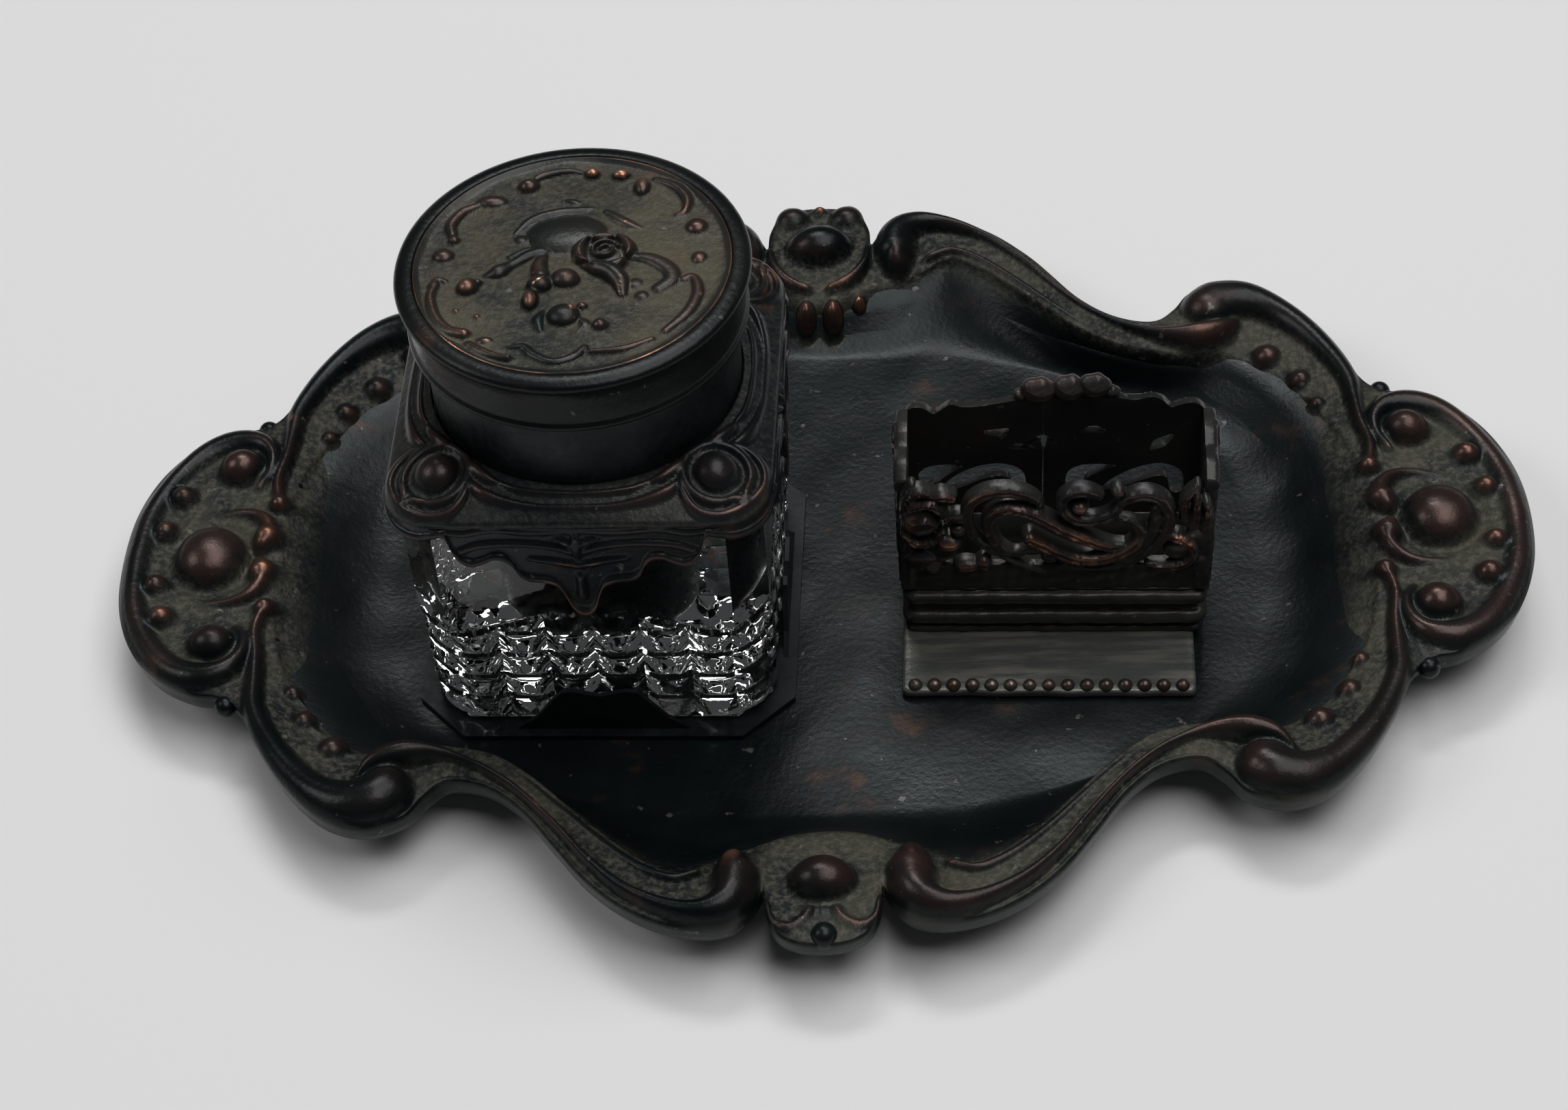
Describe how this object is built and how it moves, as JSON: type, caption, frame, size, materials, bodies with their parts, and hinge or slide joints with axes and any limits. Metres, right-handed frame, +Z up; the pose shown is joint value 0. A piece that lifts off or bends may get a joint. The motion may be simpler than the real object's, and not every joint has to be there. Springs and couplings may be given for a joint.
{
  "type": "desk inkstand",
  "caption": "Cartouche-shaped cast metal desk inkstand with a square pressed-glass ink well, hinged round lid and an open pierced match box.",
  "frame": {"origin": "centre of the tray's bounding box, on the surface it stands on", "axes": "+X along the tray's long axis to the user's right, +Y away from the user, +Z up"},
  "size_m": [0.258, 0.1824, 0.0885],
  "materials": {
    "bronze": "copper-plated casting under a near-black green patina, rubbed to copper on high points",
    "dark_sheet": "blackened sheet metal, satin",
    "copper": "dull copper",
    "clear_glass": "clear pressed glass",
    "cement": "set plaster, matt"
  },
  "bodies": {
    "stand": {"tray": "bronze", "well_seat": "dark_sheet", "seat_rivet": "copper", "foot_plate": "bronze", "box_rivet_left": "copper", "box_rivet_right": "copper", "box_plinth": "bronze", "box_front": "bronze", "box_back_left": "bronze", "box_back_right": "bronze", "box_side_left": "bronze", "box_side_right": "bronze", "box_crest": "bronze"},
    "well": {"glass_well": "clear_glass", "cement_bed": "cement", "collar": "bronze", "neck_ring": "dark_sheet", "collar_hinge_strap": "bronze", "hinge_pin": "copper"},
    "lid": {"lid_shell": "bronze", "lid_panel": "bronze", "lid_hinge_strap": "bronze"}
  },
  "joints": [
    {"name": "well_lift", "type": "slide", "parent": "stand", "child": "well", "axis": [0, 0, 1], "range_m": [0, 0.08]},
    {"name": "lid_hinge", "type": "hinge", "parent": "well", "child": "lid", "pos_m": [-0.03668, 0.02703, 0.0777], "axis": [-0.9992, 0.0391, 0], "range_deg": [0, 105]}
  ]
}
